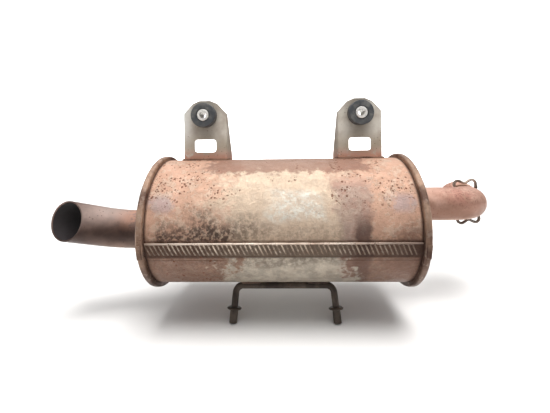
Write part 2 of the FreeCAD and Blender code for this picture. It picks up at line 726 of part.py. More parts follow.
def build_all():
    make_shell()
    make_linings()
    make_end_cap("inlet_end_cap", "inlet_radius", "inlet_y", "inlet_z", -1, None)
    make_end_cap("outlet_end_cap", "outlet_radius", "-outlet_y", "outlet_z", 1,
                 frame(-X_AXIS, -Y_AXIS, Z_AXIS))
    make_inlet_pipe()
    make_inlet_flare()
    make_outlet_pipe()
    make_core_tubes()
    make_transfer_tubes()
    make_baffle("inlet", "baffle_at")
    make_baffle("outlet", "-baffle_at - cap_wall")
    for name, x in (("left", "-bolt_half"), ("right", "bolt_half")):
        make_bracket(f"bracket_{name}", x)
        make_bush(f"rubber_bush_{name}", x)
        make_sleeve(f"bush_sleeve_{name}", x)
    make_hanger_rod()
    make_pin_bush("pin_bush_left", -1)
    make_pin_bush("pin_bush_right", 1)
    make_spring_hook("spring_hook_upper", 1)
    make_spring_hook("spring_hook_lower", -1)


def export_all():
    DOC.recompute()
    for thing in DOC.Objects:
        if "Invalid" in thing.State or "Error" in thing.State:
            raise RuntimeError(f"{thing.Label} failed: {thing.State}")
    bodies = [o for o in DOC.Objects if o.TypeId == "PartDesign::Body"]
    os.makedirs("parts", exist_ok=True)
    for part in bodies:
        shape = part.Shape
        if shape.isNull() or not shape.isValid() or not shape.Solids:
            raise RuntimeError(f"{part.Label} has no valid solid")
    for part in bodies:
        part.Shape.exportStep(f"parts/{part.Label}.step")
        print(f"{part.Label:20s} {len(part.Shape.Solids)} solid  {part.Shape.Volume:10.0f} mm3")


build_all()
export_all()
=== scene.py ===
"""Looks of the exhaust muffler: heat-tinted steel, weld beads, crimped lock seam, rubber bushes.

All lengths are in metres in the part's own frame: X along the barrel, Y backwards, Z up.
"""
import math
import random

import bpy
from mathutils import Matrix, Vector


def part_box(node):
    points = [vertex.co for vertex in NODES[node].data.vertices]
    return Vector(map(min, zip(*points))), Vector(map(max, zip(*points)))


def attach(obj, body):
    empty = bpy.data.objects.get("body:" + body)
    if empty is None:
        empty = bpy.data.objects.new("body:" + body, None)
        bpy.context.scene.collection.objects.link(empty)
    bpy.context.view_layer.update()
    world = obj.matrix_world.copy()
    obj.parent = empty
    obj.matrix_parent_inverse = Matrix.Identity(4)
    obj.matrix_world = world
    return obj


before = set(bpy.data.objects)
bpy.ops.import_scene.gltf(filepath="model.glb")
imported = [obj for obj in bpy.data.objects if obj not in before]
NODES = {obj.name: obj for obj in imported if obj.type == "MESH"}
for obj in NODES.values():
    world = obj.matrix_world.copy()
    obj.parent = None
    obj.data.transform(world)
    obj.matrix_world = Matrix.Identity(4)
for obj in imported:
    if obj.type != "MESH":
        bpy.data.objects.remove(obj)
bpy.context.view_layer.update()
MUFFLER = "muffler"
RNG = random.Random(7)
DEGREES_PER_RADIAN = 57.29578

# the barrel's axis, and sizes that the CAD part also has
AXIS_X, AXIS_Y, AXIS_Z = -0.0013, 0.0030, -0.1334
SHELL_R = 0.0762
RIM_INNER = 0.146
CAP_FACE = 0.143
SEAM_LOW_DEG, SEAM_HIGH_DEG = -18.0, -7.0
SEAM_LOW, SEAM_HIGH = math.radians(SEAM_LOW_DEG), math.radians(SEAM_HIGH_DEG)
SEAM_R = SHELL_R + 0.0015
# the lines along X that the two pipes leave the end caps on
INLET_Y, INLET_Z = AXIS_Y + 0.028, AXIS_Z + 0.0114
OUTLET_Y, OUTLET_Z = AXIS_Y - 0.005, AXIS_Z - 0.012


def barrel_point(x, angle, radius):
    """A point round the barrel: angle 0 faces the front and 90 degrees is the crest."""
    return Vector((x, AXIS_Y - radius * math.cos(angle), AXIS_Z + radius * math.sin(angle)))


def srgb(red, green, blue):
    """A linear colour from 0 to 255 screen values."""
    out = []
    for level in (red, green, blue):
        c = level / 255.0
        out.append(c / 12.92 if c <= 0.04045 else ((c + 0.055) / 1.055) ** 2.4)
    return tuple(out)


# --- material building ------------------------------------------------------------------------

def smooth_range(tree, value, low, high, to_low, to_high):
    """Smoothly from to_low to to_high as the value socket goes from low to high."""
    node = tree.nodes.new("ShaderNodeMapRange")
    node.interpolation_type = "SMOOTHSTEP"
    tree.links.new(value, node.inputs["Value"])
    for key, number in (("From Min", low), ("From Max", high),
                        ("To Min", to_low), ("To Max", to_high)):
        node.inputs[key].default_value = number
    return node.outputs["Result"]


class Graph:
    """Short names for the shader nodes that the materials below are made of."""

    def __init__(self, name):
        self.mat = bpy.data.materials.new(name)
        self.mat.use_nodes = True
        self.tree = self.mat.node_tree
        self.tree.nodes.clear()
        self.out = self.tree.nodes.new("ShaderNodeOutputMaterial")
        self.bsdf = self.tree.nodes.new("ShaderNodeBsdfPrincipled")
        self.tree.links.new(self.bsdf.outputs[0], self.out.inputs["Surface"])
        self.where = self.tree.nodes.new("ShaderNodeTexCoord").outputs["Object"]
        split = self.tree.nodes.new("ShaderNodeSeparateXYZ")
        self.tree.links.new(self.where, split.inputs[0])
        self.x, self.y, self.z = split.outputs

    def put(self, socket, value):
        """Link value to the socket if it is a socket too, or else set it there."""
        if isinstance(value, bpy.types.NodeSocket):
            self.tree.links.new(value, socket)
        elif hasattr(value, "__len__") and len(value) == 3 and len(socket.default_value) == 4:
            socket.default_value = (*value, 1.0)
        else:
            socket.default_value = value

    def math(self, kind, a, b=0.0, clamp=False):
        node = self.tree.nodes.new("ShaderNodeMath")
        node.operation = kind
        node.use_clamp = clamp
        self.put(node.inputs[0], a)
        self.put(node.inputs[1], b)
        return node.outputs[0]

    def plus(self, a, b, clamp=False):
        return self.math("ADD", a, b, clamp)

    def minus(self, a, b):
        return self.math("SUBTRACT", a, b)

    def times(self, first, *others):
        result = first
        for other in others:
            result = self.math("MULTIPLY", result, other)
        return result

    def swayed(self, value, by, amount):
        """value plus amount times by: with noise as by, a straight edge turns ragged."""
        return self.plus(value, self.times(by, amount))

    def ramp(self, value, low, high, to_low=0.0, to_high=1.0):
        return smooth_range(self.tree, value, low, high, to_low, to_high)

    def band(self, value, centre, half, soft):
        """1 inside centre +- half, fading to 0 over soft."""
        off = self.math("ABSOLUTE", self.minus(value, centre))
        return self.ramp(off, half, half + soft, 1.0, 0.0)

    def mapped(self, scale, shift):
        node = self.tree.nodes.new("ShaderNodeMapping")
        self.tree.links.new(self.where, node.inputs["Vector"])
        node.inputs["Scale"].default_value = scale
        node.inputs["Location"].default_value = shift
        return node.outputs[0]

    def noise(self, scale, detail=4.0, rough=0.55, stretch=(1, 1, 1), shift=(0, 0, 0)):
        node = self.tree.nodes.new("ShaderNodeTexNoise")
        self.tree.links.new(self.mapped(stretch, shift), node.inputs["Vector"])
        node.inputs["Scale"].default_value = scale
        node.inputs["Detail"].default_value = detail
        node.inputs["Roughness"].default_value = rough
        return node.outputs["Fac"]

    def cells(self, scale, shift=(0, 0, 0), warp=0.0):
        """Distance to the nearest of scattered points; warp makes the spots uneven."""
        place = self.mapped((1, 1, 1), shift)
        if warp:
            wobble = self.tree.nodes.new("ShaderNodeTexNoise")
            wobble.inputs["Scale"].default_value = scale * 2.0
            self.tree.links.new(place, wobble.inputs["Vector"])
            offset = self.tree.nodes.new("ShaderNodeVectorMath")
            offset.operation = "MULTIPLY_ADD"
            self.tree.links.new(wobble.outputs["Color"], offset.inputs[0])
            offset.inputs[1].default_value = (warp / scale,) * 3
            self.tree.links.new(place, offset.inputs[2])
            place = offset.outputs[0]
        node = self.tree.nodes.new("ShaderNodeTexVoronoi")
        self.tree.links.new(place, node.inputs["Vector"])
        node.inputs["Scale"].default_value = scale
        return node.outputs["Distance"]

    def mix(self, amount, a, b):
        node = self.tree.nodes.new("ShaderNodeMix")
        node.data_type = "RGBA"
        self.put(node.inputs["Factor"], amount)
        self.put(node.inputs["A"], a)
        self.put(node.inputs["B"], b)
        return node.outputs["Result"]

    def paint(self, color, layers):
        """color with (mask, layer colour, amount) layers over it, painted in order."""
        for mask, layer, amount in layers:
            color = self.mix(self.times(mask, amount), color, layer)
        return color

    def round_angle(self):
        """Degrees round the barrel: 0 at the front, 90 at the crest."""
        up = self.minus(self.z, AXIS_Z)
        front = self.minus(AXIS_Y, self.y)
        return self.times(self.math("ARCTAN2", up, front), DEGREES_PER_RADIAN)

    def bump(self, height, strength, distance, below=None):
        """A bumped normal, on top of the normal below if there is one."""
        node = self.tree.nodes.new("ShaderNodeBump")
        node.inputs["Strength"].default_value = strength
        node.inputs["Distance"].default_value = distance
        self.put(node.inputs["Height"], height)
        if below is not None:
            self.put(node.inputs["Normal"], below)
        return node.outputs[0]

    def done(self, color, metallic, roughness, normal=None):
        self.put(self.bsdf.inputs["Base Color"], color)
        self.put(self.bsdf.inputs["Metallic"], metallic)
        self.put(self.bsdf.inputs["Roughness"], roughness)
        if normal is not None:
            self.put(self.bsdf.inputs["Normal"], normal)
        return self.mat


# --- the barrel's skin: lengths are along the barrel from its middle, angles in degrees --------

# where the straw-coloured bloom and the brown crest have their middles
BLOOM_AT, CREST_AT = 0.004, 0.012


class ShellField:
    """Places round the barrel, and the patterns that more than one of its marks use."""

    def __init__(self, g):
        self.along = g.minus(g.x, AXIS_X)
        self.away = g.math("ABSOLUTE", self.along)
        self.middle = g.math("ABSOLUTE", g.minus(self.along, BLOOM_AT))
        self.angle = g.round_angle()
        # noise round 0 that makes edges ragged: broad, fine, and both in metres
        self.big = g.minus(g.noise(14.0, 4.0, 0.6, shift=(3, 1, 2)), 0.5)
        self.small = g.minus(g.noise(85.0, 8.0, 0.72, shift=(1, 4, 2)), 0.5)
        self.ragged = g.plus(g.times(self.big, 0.11), g.times(self.small, 0.12))
        # the angle jumps from 180 to -180 degrees at the back, so marks fade out before it
        torn = g.swayed(self.angle, self.ragged, 260.0)
        self.front = g.ramp(torn, -155.0, -140.0)
        self.top = g.ramp(torn, 150.0, 135.0)
        self.below_seam = g.times(
            g.ramp(self.angle, SEAM_LOW_DEG + 0.5, SEAM_LOW_DEG - 0.5), self.front)
        self.worn = g.plus(self.middle, self.ragged)
        self.ends = g.ramp(self.worn, 0.046, 0.088)
        self.flakes = g.ramp(g.noise(105.0, 7.0, 0.72, shift=(5, 5, 0)), 0.51, 0.56)
        self.speckle = g.ramp(g.noise(190.0, 9.0, 0.8, shift=(0, 2, 4)), 0.43, 0.55)
        self.mottle = g.ramp(g.noise(70.0, 8.0, 0.72, stretch=(0.8, 1, 1), shift=(8, 8, 1)),
                             0.36, 0.64)
        self.grain = g.noise(300.0, 5.0, 0.7, stretch=(0.3, 1, 1))
        self.pits = self.rust_pits(g)

    def rust_pits(self, g):
        """Round spots, in clusters near the ends of the crest and low down at the left."""
        near_ends = g.ramp(self.away, 0.04, 0.075, -0.04, 0.09)
        clusters = g.ramp(g.plus(g.noise(42.0, 3.0, shift=(7, 0, 3)), near_ends), 0.54, 0.62)
        upper = g.times(g.ramp(self.angle, 12.0, 34.0), g.ramp(self.angle, 175.0, 140.0))
        lower = g.times(self.below_seam, 2.0, g.band(self.along, -0.085, 0.03, 0.02))
        share = g.plus(g.swayed(0.18, upper, 0.82), lower, clamp=True)
        coarse = g.ramp(g.cells(210.0, warp=0.4), 0.30, 0.20)
        fine = g.ramp(g.cells(430.0, shift=(3, 3, 3), warp=0.5), 0.27, 0.15)
        return g.times(g.plus(coarse, fine, clamp=True), clusters, share)


def bloom_and_highlight_layers(g, at):
    """A silvery painted highlight in the middle, salmon ends, and flakes of paler bloom."""
    # painted highlight: a near-white, glinting patch on the front of the barrel's middle
    painted_highlight = g.times(g.band(g.swayed(at.along, at.big, 0.08), 0.012, 0.022, 0.018),
                     g.band(g.swayed(at.angle, at.big, 40.0), 20.0, 9.0, 8.0),
                     g.ramp(g.noise(150.0, 8.0, 0.78, shift=(6, 2, 2)), 0.44, 0.58, 0.25, 1.0))
    return [(painted_highlight, srgb(252, 250, 238), 0.85),
            (at.ends, srgb(232, 188, 162), 1.0),
            (g.ramp(at.away, 0.08, 0.135), srgb(222, 178, 154), 0.5),
            (at.flakes, srgb(240, 220, 198), 0.42)]


def stain_layers(g, at):
    """Mauve stains near the ends, and a brown one along the crest."""
    mauve = g.times(g.band(g.swayed(at.away, at.small, 0.05), 0.128, 0.006, 0.011),
                    g.band(at.angle, 24.0, 3.0, 8.0))
    from_middle = g.math("ABSOLUTE", g.minus(at.along, CREST_AT))
    crest = g.times(g.ramp(g.swayed(at.angle, at.small, 42.0), 50.0, 58.0),
                    g.ramp(g.swayed(from_middle, at.ragged, 0.7), 0.098, 0.084), at.top)
    return [(mauve, srgb(192, 178, 184), 0.55),
            (crest, srgb(160, 118, 103), 0.78)]


def soot_and_shade_layers(g, at):
    """Speckled soot above the seam, partly real and partly painted shade, thickest towards the
    left.
    """
    # partly soot and partly painted shade: a speckled darkening on the front just above the seam
    soot_and_shade = g.times(g.ramp(g.swayed(at.angle, at.big, 34.0), 12.0, -5.0), at.front,
                   g.swayed(0.32, at.speckle, 0.6), g.ramp(at.middle, 0.04, 0.08, 0.72, 1.0))
    left = g.times(g.ramp(g.swayed(at.along, at.big, 0.12), -0.012, -0.060),
                   g.ramp(g.swayed(at.along, at.small, 0.02), -0.136, -0.128),
                   g.ramp(g.swayed(at.angle, at.big, 60.0), 20.0, -2.0),
                   g.ramp(at.angle, SEAM_HIGH_DEG - 0.5, SEAM_HIGH_DEG + 0.5),
                   g.swayed(0.18, at.speckle, 0.82))
    return [(soot_and_shade, srgb(104, 84, 72), 0.6),
            (left, srgb(66, 56, 52), 0.92)]


def smear_layers(g, at):
    """A haze and a dark smear that run down to the seam, and the dark right end."""
    haze = g.times(g.band(g.swayed(at.along, at.ragged, 0.30), 0.076, 0.010, 0.014),
                   at.front, g.ramp(at.angle, 56.0, 36.0))
    smear = g.times(g.band(g.swayed(at.along, at.ragged, 0.14), 0.085, 0.005, 0.007),
                    at.front, g.ramp(at.angle, 22.0, 1.0))
    edge = g.times(g.ramp(g.swayed(at.along, at.small, 0.05), 0.104, 0.134),
                   g.ramp(g.swayed(at.angle, at.small, 60.0), 16.0, -4.0), at.front)
    return [(haze, srgb(158, 132, 130), 0.48),
            (smear, srgb(72, 54, 50), 0.72),
            (edge, srgb(96, 62, 54), 0.5)]


def belly_layers(g, at):
    """Below the seam: bare mottled metal in the middle, brown ends."""
    brown = g.times(at.below_seam, g.ramp(at.worn, 0.052, 0.070))
    belly = g.times(at.below_seam, g.ramp(at.worn, 0.070, 0.052))
    blotch = g.ramp(g.noise(52.0, 8.0, 0.75, shift=(9, 1, 1)), 0.44, 0.58)
    tarnish = g.ramp(g.swayed(at.angle, at.big, 50.0), -30.0, -20.0)
    return [(brown, srgb(112, 84, 70), 0.72),
            (belly, srgb(206, 198, 182), 0.85),
            (g.times(belly, blotch), srgb(146, 138, 126), 0.55),
            (g.times(belly, tarnish, at.speckle), srgb(96, 88, 78), 0.55)]


def seam_layers(g, at):
    """The seam's own tone, dark lines along it and along a fold below it, and dark rims."""
    seam = g.band(at.angle, (SEAM_LOW_DEG + SEAM_HIGH_DEG) / 2,
                  (SEAM_HIGH_DEG - SEAM_LOW_DEG) / 2, 0.6)
    tone = g.mix(g.ramp(at.away, 0.04, 0.10), srgb(88, 78, 68), srgb(52, 35, 29))
    shade = g.plus(g.band(at.angle, SEAM_LOW_DEG - 1.2, 0.5, 1.2),
                   g.band(at.angle, SEAM_HIGH_DEG + 1.2, 0.3, 1.6))
    fold = g.times(g.band(at.angle, SEAM_LOW_DEG - 4.6, 0.15, 0.5),
                   g.ramp(at.away, 0.055, 0.07))
    return [(seam, tone, 0.85),
            (shade, srgb(66, 48, 40), 0.62),
            (fold, srgb(58, 42, 36), 0.6),
            (g.ramp(at.away, 0.1425, 0.1455), srgb(58, 40, 33), 0.9)]


def wear_layers(g, at):
    """Rust pits, and a fine unevenness over everything."""
    return [(at.pits, srgb(128, 80, 60), 0.85),
            (g.minus(1.0, at.mottle), srgb(120, 92, 78), 0.17),
            (at.grain, srgb(140, 110, 92), 0.14)]


def shell_material():
    g = Graph("heat_tinted_shell")
    at = ShellField(g)
    color = g.mix(g.ramp(at.away, 0.05, 0.13), srgb(240, 216, 190), srgb(230, 200, 176))
    for layers in (bloom_and_highlight_layers, stain_layers, soot_and_shade_layers, smear_layers, belly_layers,
                   seam_layers, wear_layers):
        color = g.paint(color, layers(g, at))
    smooth_middle = g.times(g.minus(1.0, at.ends), 0.05)
    rough = g.minus(g.ramp(at.mottle, 0.0, 1.0, 0.52, 0.36), smooth_middle)
    rough = g.swayed(rough, at.pits, 0.3)
    dents = g.bump(g.noise(16.0, 3.0), 0.5, 0.004)
    height = g.swayed(g.plus(at.flakes, at.mottle), at.pits, -2.5)
    crust = g.bump(height, 0.45, 0.0007, dents)
    fine = g.bump(g.plus(at.grain, at.speckle), 0.3, 0.0006, crust)
    return g.done(color, 0.62, rough, fine)


# --- the other materials ----------------------------------------------------------------------

def near(axis, level, spread):
    """A mask maker: 1 at level on the x or z axis, fading over spread."""
    return lambda g: g.band(getattr(g, axis), level, 0.0, spread)


def both(*masks):
    """A mask maker: where all of the given masks are."""
    return lambda g: g.times(*(mask(g) for mask in masks))


def specks(scale, start, full):
    """A mask maker: fine broken patches."""
    return lambda g: g.ramp(g.noise(scale, 7.0, 0.72, shift=(2, 6, 4)), start, full)


def steel_material(name, base, dark, spots, metallic=0.6, rough=(0.4, 0.6), grain=160.0,
                   tints=()):
    """Weathered steel. tints are (mask maker, colour, amount), painted in order."""
    g = Graph(name)
    color = g.mix(g.ramp(g.noise(34.0, 5.0, 0.6), 0.38, 0.66), base, dark)
    color = g.paint(color, [(mask(g), tint, amount) for mask, tint, amount in tints])
    clusters = g.ramp(g.noise(45.0, 2.0, shift=(4, 4, 1)), 0.47, 0.58)
    pits = g.times(g.ramp(g.cells(260.0), 0.24, 0.08), clusters)
    fine = g.noise(grain, 5.0, 0.7)
    color = g.paint(color, [(pits, spots, 0.75), (fine, dark, 0.2)])
    level = g.ramp(g.noise(60.0, 4.0, shift=(2, 0, 5)), 0.3, 0.7, *rough)
    return g.done(color, metallic, level, g.bump(g.minus(fine, pits), 0.3, 0.0007))


def cap_material():
    """Darker low down, which is painted shade, and speckled pale and dark."""
    tints = (
        # painted shade: the caps darken towards the bottom
        (near("z", AXIS_Z - 0.080, 0.095), srgb(62, 46, 40), 0.85),
        (both(near("x", 0.158, 0.040), near("z", -0.155, 0.055)), srgb(92, 70, 62), 0.6),
        (specks(130.0, 0.52, 0.62), srgb(206, 186, 170), 0.34),
        (specks(70.0, 0.50, 0.64), srgb(76, 56, 48), 0.34))
    return steel_material("cap_steel", srgb(188, 156, 134), srgb(116, 90, 78),
                          srgb(92, 58, 44), rough=(0.34, 0.52), tints=tints)


def inlet_material():
    """Painted shade underneath with one painted line of bounce light along the bottom, and rusty
    patches on the elbow.
    """
    tints = (
        # painted shade on the pipe's underside
        (near("z", -0.140, 0.026), srgb(130, 94, 76), 0.85),
        # painted bounce light: a pale line along the pipe's bottom edge
        (near("z", -0.1435, 0.007), srgb(206, 168, 146), 0.6),
        (both(near("x", 0.236, 0.046), near("z", -0.108, 0.022), specks(120.0, 0.44, 0.52)),
         srgb(176, 122, 108), 0.7),
        (both(near("x", 0.240, 0.050), near("z", -0.110, 0.024), specks(380.0, 0.53, 0.58)),
         srgb(120, 76, 62), 0.7))
    return steel_material("inlet_steel", srgb(206, 166, 148), srgb(172, 132, 114),
                          srgb(128, 80, 62), metallic=0.55, rough=(0.42, 0.6), tints=tints)


def tail_material():
    """Dark, with a painted highlight along the top and a painted line of bounce light along the
    bottom, and orange rust where it leaves the cap.
    """
    tints = (
        (near("z", -0.146, 0.024), srgb(62, 46, 40), 0.85),
        # painted highlight along the top of the tail's near end
        (both(near("z", -0.116, 0.024), near("x", -0.215, 0.045)), srgb(190, 170, 160), 0.7),
        (both(near("z", -0.118, 0.030), near("x", -0.158, 0.060), specks(90.0, 0.40, 0.52)),
         srgb(220, 156, 122), 0.9),
        (both(near("x", -0.172, 0.030), near("z", -0.112, 0.030), specks(300.0, 0.55, 0.60)),
         srgb(110, 60, 44), 0.7),
        # painted bounce light: a pale line along the tail's bottom edge
        (both(near("z", -0.166, 0.014), near("x", -0.200, 0.070)), srgb(160, 132, 112), 0.6))
    return steel_material("tailpipe_steel", srgb(140, 114, 104), srgb(88, 70, 64),
                          srgb(58, 40, 34), metallic=0.55, rough=(0.4, 0.58), tints=tints)


def bracket_material():
    """Bright, with a painted highlight on the left bracket's left edge, greyer behind the bushes
    and low down, with coppery feet.
    """
    grey, copper = srgb(126, 116, 104), srgb(206, 152, 130)
    tints = (
        # painted highlight: a near-white strip on the left bracket's left edge
        (near("x", -0.130, 0.022), srgb(252, 250, 244), 0.8),
        (near("x", -0.0992, 0.024), grey, 0.6),
        (near("x", 0.0992, 0.024), grey, 0.6),
        (near("z", -0.040, 0.020), srgb(176, 160, 136), 0.6),
        (both(specks(110.0, 0.40, 0.46), near("z", -0.056, 0.017)), copper, 1.0),
        (near("z", -0.057, 0.008), copper, 1.0))
    return steel_material("bracket_steel", srgb(232, 226, 214), srgb(196, 184, 170),
                          srgb(110, 78, 60), metallic=0.4, rough=(0.34, 0.52), tints=tints)


def hook_material():
    """Bright wire, darker low down, where shade is painted on the lower hook."""
    return steel_material("hook_steel", srgb(204, 186, 172), srgb(116, 102, 92),
                          srgb(70, 46, 36), metallic=0.6, rough=(0.28, 0.42),
                          # painted shade: the lower hook, below the pipe, darkens
                          tints=((near("z", -0.160, 0.030), srgb(84, 74, 68), 0.85),))


def rubber_material():
    g = Graph("moulded_rubber")
    dust = g.ramp(g.noise(90.0, 5.0, 0.65), 0.42, 0.7)
    color = g.paint(srgb(66, 68, 71), [(dust, srgb(128, 126, 120), 0.6)])
    fine = g.noise(700.0, 3.0, 0.6)
    return g.done(color, 0.0, g.ramp(dust, 0.0, 1.0, 0.55, 0.8), g.bump(fine, 0.25, 0.0004))


def sleeve_material():
    g = Graph("bright_sleeve")
    fine = g.noise(500.0, 3.0, 0.6, stretch=(1, 0.1, 1))
    color = g.mix(fine, srgb(248, 246, 242), srgb(222, 218, 212))
    return g.done(color, 0.35, g.ramp(fine, 0.2, 0.8, 0.22, 0.42), g.bump(fine, 0.15, 0.0003))


def fibre_material():
    g = Graph("packed_fibre")
    strands = g.noise(400.0, 6.0, 0.75, stretch=(0.2, 1, 1))
    color = g.mix(strands, srgb(190, 182, 160), srgb(228, 222, 204))
    return g.done(color, 0.0, g.ramp(strands, 0.0, 1.0, 0.85, 1.0), g.bump(strands, 0.6, 0.001))


def soot_and_shade_material():
    g = Graph("tailpipe_soot_and_shade")
    flaky = g.noise(160.0, 5.0, 0.65)
    # nearly black: soot, and painted shade in the pipe's bore
    color = g.mix(flaky, srgb(20, 18, 20), srgb(44, 38, 38))
    return g.done(color, 0.0, g.ramp(flaky, 0.3, 0.7, 0.7, 0.9), g.bump(flaky, 0.3, 0.0006))


def paint_nodes():
    """Gives every CAD node its material, and returns the shell's."""
    shell, cap, inlet, bracket = (make() for make in (
        shell_material, cap_material, inlet_material, bracket_material))
    rubber, sleeve, hook = rubber_material(), sleeve_material(), hook_material()
    dark = steel_material("dark_steel", srgb(92, 82, 74), srgb(58, 50, 45), srgb(88, 54, 38),
                          metallic=0.6, rough=(0.35, 0.55))
    inner = steel_material("inner_steel", srgb(120, 110, 104), srgb(84, 74, 68),
                           srgb(60, 44, 36))
    looks = {
        "outer_shell": shell, "inlet_end_cap": cap, "outlet_end_cap": cap,
        "inlet_pipe": inlet, "inlet_flare": inlet, "outlet_pipe": tail_material(),
        "hanger_rod": dark, "spring_hook_upper": hook, "spring_hook_lower": hook,
        "fibre_mat": fibre_material(),
    }
    for side in ("left", "right"):
        looks[f"bracket_{side}"] = bracket
        looks[f"rubber_bush_{side}"] = rubber
        looks[f"bush_sleeve_{side}"] = sleeve
        looks[f"pin_bush_{side}"] = dark
    for name, thing in NODES.items():
        thing.data.materials.clear()
        thing.data.materials.append(looks.get(name, inner))
    return shell


# --- building meshes --------------------------------------------------------------------------

def mesh_object(name, points, faces):
    mesh = bpy.data.meshes.new(name)
    mesh.from_pydata(points, [], faces)
    for polygon in mesh.polygons:
        polygon.use_smooth = True
    thing = bpy.data.objects.new(name, mesh)
    bpy.context.scene.collection.objects.link(thing)
    return thing


def add_piece(name, points, faces, material):
    thing = mesh_object(name, points, faces)
    thing.data.materials.append(material)
    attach(thing, MUFFLER)


def ring_faces(rings, sides, closed=False):
    """Quads between neighbouring rings of points; closed joins the last to the first too."""
    faces = []
    for i in range(rings if closed else rings - 1):
        here, ahead = i * sides, (i + 1) % rings * sides
        for k in range(sides):
            m = (k + 1) % sides
            faces.append((here + k, here + m, ahead + m, ahead + k))
    return faces


def spaced(path, step):
    """The path's points, evenly spaced."""
    out, left = [path[0].copy()], 0.0
    for a, b in zip(path, path[1:]):
        run = (b - a).length
        at = step - left
        while at < run:
            out.append(a.lerp(b, at / run))
            at += step
        left = run - (at - step)
    return out


def ring_path(centre, axis, radius):
    """A circle's points; the last one stops short of the first."""
    steps, full_turn = 120, 6.28318
    axis = Vector(axis).normalized()
    side = axis.orthogonal().normalized()
    other = axis.cross(side)
    return [Vector(centre) + side * radius * math.cos(full_turn * i / steps)
            + other * radius * math.sin(full_turn * i / steps) for i in range(steps)]


# --- welds ------------------------------------------------------------------------------------

WELD_STEP = 0.0007
WELD_SIDES = 10
RIPPLE_PITCH = 0.0019
RIPPLE_TURN = 6.28
RIPPLE_HEIGHT, DRIFT_HEIGHT, UNEVEN_HEIGHT = 0.16, 0.12, 0.04
DRIFT_PACE = 0.21
TAPER_START, TAPER_STEP = 0.35, 0.25
BRACKET_BEAD_R, CAP_BEAD_R, FLARE_BEAD_R, TACK_R, ROD_BEAD_R = (
    0.0019, 0.0021, 0.0014, 0.0022, 0.0017)
# the elbow's centre, how far its mouth points down, and where the flare starts from there
ELBOW_X = AXIS_X + 0.274
ELBOW_DROOP = math.radians(5.0)
FLARE_START = 0.0455


def weld(name, path, radius, material, closed=False):
    """A rippled bead of weld along a path of points; its open ends taper."""
    points = spaced(path, WELD_STEP)
    count = len(points)
    verts = []
    phase = RNG.random() * RIPPLE_TURN
    for i, p in enumerate(points):
        ahead = points[(i + 1) % count] if closed or i + 1 < count else p
        behind = points[i - 1] if closed or i > 0 else p
        tangent = (ahead - behind).normalized()
        side = tangent.orthogonal().normalized()
        other = tangent.cross(side)
        ripple = math.sin(i * WELD_STEP / RIPPLE_PITCH * RIPPLE_TURN + phase)
        drift = math.sin(i * DRIFT_PACE + phase * 2)
        swell = 1.0 + RIPPLE_HEIGHT * ripple
        swell += DRIFT_HEIGHT * drift + RNG.uniform(-UNEVEN_HEIGHT, UNEVEN_HEIGHT)
        if not closed:
            swell *= min(1.0, TAPER_START + min(i, count - 1 - i) * TAPER_STEP)
        for k in range(WELD_SIDES):
            turn = 2 * math.pi * k / WELD_SIDES
            away = side * math.cos(turn) + other * math.sin(turn)
            verts.append(p + away * radius * swell)
    faces = ring_faces(count, WELD_SIDES, closed)
    if not closed:
        faces.append(tuple(range(WELD_SIDES - 1, -1, -1)))
        faces.append(tuple((count - 1) * WELD_SIDES + k for k in range(WELD_SIDES)))
    add_piece(name, verts, faces, material)


def weld_brackets(material):
    """Beads down both sides of each bracket's feet, where they meet the barrel."""
    steps, gap = 12, 0.0004
    for side in ("left", "right"):
        low_corner, high_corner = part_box(f"bracket_{side}")
        front = math.acos((AXIS_Y - low_corner.y) / SHELL_R)
        back = math.acos((AXIS_Y - high_corner.y) / SHELL_R)
        arc = [front + (back - front) * i / steps for i in range(steps + 1)]
        path = [barrel_point(low_corner.x - gap, a, SHELL_R) for a in reversed(arc)]
        path += [barrel_point(high_corner.x + gap, a, SHELL_R) for a in arc]
        weld(f"bracket_weld_{side}", path, BRACKET_BEAD_R, material)


def weld_pipes(bead, dark):
    """Beads round the pipes at the end caps, and round the flare at the elbow's mouth."""
    along, mouth = (1, 0, 0), Vector((0, math.cos(ELBOW_DROOP), -math.sin(ELBOW_DROOP)))
    inlet_hole = AXIS_X + CAP_FACE, INLET_Y, INLET_Z
    outlet_hole = AXIS_X - CAP_FACE, OUTLET_Y, OUTLET_Z
    flare_start = Vector((ELBOW_X, INLET_Y, INLET_Z)) + mouth * FLARE_START
    weld("inlet_cap_weld", ring_path(inlet_hole, along, 0.0230), CAP_BEAD_R, bead,
         closed=True)
    weld("outlet_cap_weld", ring_path(outlet_hole, along, 0.0246), CAP_BEAD_R, dark,
         closed=True)
    weld("flare_weld", ring_path(flare_start, mouth, 0.0229), FLARE_BEAD_R, bead,
         closed=True)


def weld_hooks(material):
    """A tack at each foot of the two spring hooks."""
    across = Vector((0, 0.0022, 0))
    foot_span, foot_height = 0.004, 0.0025
    for name, foot_z in (("spring_hook_upper", min), ("spring_hook_lower", max)):
        points = [v.co for v in NODES[name].data.vertices]
        for tip, end in (("a", min), ("b", max)):
            x_end = end(c.x for c in points)
            near_end = [c for c in points if abs(c.x - x_end) < foot_span]
            z_end = foot_z(c.z for c in near_end)
            foot = [c for c in near_end if abs(c.z - z_end) < foot_height]
            centre = sum(foot, Vector()) / len(foot)
            weld(f"{name}_tack_{tip}", [centre - across, centre, centre + across], TACK_R,
                 material)


def weld_rod(material):
    """Short beads in front of and behind the hanger rod, at both ends of its straight run."""
    from_middle, half_length, radius = 0.040, 0.012, SHELL_R + 0.0005
    rod_low, rod_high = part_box("hanger_rod")
    middle = (rod_low.x + rod_high.x) / 2
    for letter, x in (("a", middle - from_middle), ("b", middle + from_middle)):
        for name, angle in (("front", -70.3), ("back", -77.7)):
            line = [barrel_point(x + dx, math.radians(angle), radius)
                    for dx in (-half_length, 0.0, half_length)]
            weld(f"rod_weld_{name}_{letter}", line, ROD_BEAD_R, material)


